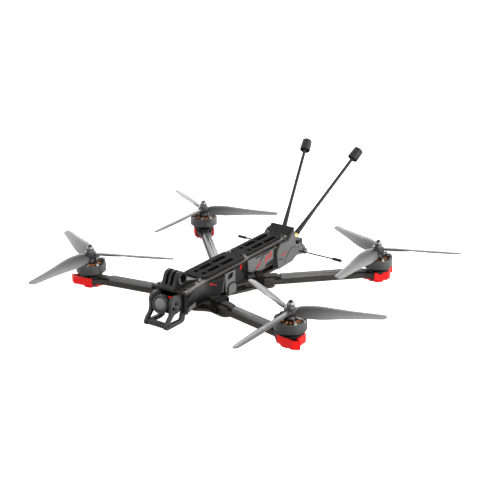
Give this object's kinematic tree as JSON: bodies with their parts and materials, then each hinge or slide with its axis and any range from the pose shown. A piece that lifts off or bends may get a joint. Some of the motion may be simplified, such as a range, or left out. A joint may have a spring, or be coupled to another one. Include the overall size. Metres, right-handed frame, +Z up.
{
  "type": "fpv racing drone",
  "caption": "Long-range racing quadcopter with a flat carbon frame, three-blade propellers, nose camera cage, side covers and rear stick antennas.",
  "frame": {"origin": "on the underside of the bottom plate, on the centre line, midway between the four motor axes", "axes": "+X to the drone's left, -Y towards its nose, +Z up along the motor shafts"},
  "size_m": [0.436, 0.4058, 0.1208],
  "materials": {
    "carbon_fibre": "carbon fibre laminate, satin faces and cut edges",
    "red_guard": "bright red soft plastic",
    "motor_windings": "copper windings on a laminated core",
    "motor_bell": "satin dark grey anodised",
    "smoked_plastic": "smoked polycarbonate",
    "bright_steel": "bright steel",
    "black_rubber": "matt black rubber",
    "grey_aluminium": "satin aluminium",
    "braided_sleeve": "braided sleeve with a sheen",
    "dark_plastic": "dark grey printed plastic",
    "grey_tpu": "grey printed soft plastic",
    "light_plastic": "light grey moulded plastic",
    "camera_body": "satin dark grey",
    "lens_glass": "coated lens glass",
    "antenna_black": "satin black",
    "brass": "gold plated brass",
    "circuit_board": "dark solder mask"
  },
  "bodies": {
    "airframe": {"bottom_plate": "carbon_fibre", "mid_plate": "carbon_fibre", "top_plate": "carbon_fibre", "battery_pad": "black_rubber", "standoffs": "grey_aluminium", "frame_screws": "bright_steel", "front_left_arm": "carbon_fibre", "front_right_arm": "carbon_fibre", "rear_left_arm": "carbon_fibre", "rear_right_arm": "carbon_fibre", "front_left_guard": "red_guard", "front_right_guard": "red_guard", "rear_left_guard": "red_guard", "rear_right_guard": "red_guard", "front_left_stator": "motor_windings", "front_right_stator": "motor_windings", "rear_left_stator": "motor_windings", "rear_right_stator": "motor_windings", "wire_sleeves": "braided_sleeve", "motor_leads": "black_rubber", "arm_clips": "dark_plastic", "motor_screws": "bright_steel", "left_cage_frame": "grey_tpu", "right_cage_frame": "grey_tpu", "cage_bar": "grey_tpu", "camera_cheeks": "light_plastic", "action_camera_mount": "grey_tpu", "left_front_cover": "grey_tpu", "right_front_cover": "grey_tpu", "left_rear_cover": "light_plastic", "right_rear_cover": "light_plastic", "tail_cover": "dark_plastic", "antenna_bracket": "light_plastic", "left_antenna": "antenna_black", "right_antenna": "antenna_black", "antenna_connectors": "brass", "receiver_antenna": "antenna_black", "flight_controller": "circuit_board", "speed_controller": "circuit_board", "stack_mounts": "bright_steel", "video_transmitter": "grey_aluminium", "capacitor": "dark_plastic", "receiver": "circuit_board", "gps_module": "dark_plastic"},
    "front_left_rotor": {"front_left_bell": "motor_bell", "front_left_propeller": "smoked_plastic", "front_left_nut": "bright_steel"},
    "front_right_rotor": {"front_right_bell": "motor_bell", "front_right_propeller": "smoked_plastic", "front_right_nut": "bright_steel"},
    "rear_left_rotor": {"rear_left_bell": "motor_bell", "rear_left_propeller": "smoked_plastic", "rear_left_nut": "bright_steel"},
    "rear_right_rotor": {"rear_right_bell": "motor_bell", "rear_right_propeller": "smoked_plastic", "rear_right_nut": "bright_steel"},
    "camera": {"camera_housing": "camera_body", "camera_lens": "camera_body", "lens_glass": "lens_glass", "camera_screws": "dark_plastic"}
  },
  "joints": [
    {"name": "front_left_motor_spin", "type": "hinge", "parent": "airframe", "child": "front_left_rotor", "pos_m": [0.134, -0.1, 0.0225], "axis": [0, 0, 1], "continuous": true},
    {"name": "front_right_motor_spin", "type": "hinge", "parent": "airframe", "child": "front_right_rotor", "pos_m": [-0.134, -0.1, 0.0225], "axis": [0, 0, 1], "continuous": true},
    {"name": "rear_left_motor_spin", "type": "hinge", "parent": "airframe", "child": "rear_left_rotor", "pos_m": [0.125, 0.1, 0.0225], "axis": [0, 0, 1], "continuous": true},
    {"name": "rear_right_motor_spin", "type": "hinge", "parent": "airframe", "child": "rear_right_rotor", "pos_m": [-0.125, 0.1, 0.0225], "axis": [0, 0, 1], "continuous": true},
    {"name": "camera_tilt", "type": "hinge", "parent": "airframe", "child": "camera", "pos_m": [0, -0.132, 0.0236], "axis": [-1, 0, 0], "range_deg": [-10, 25]}
  ]
}
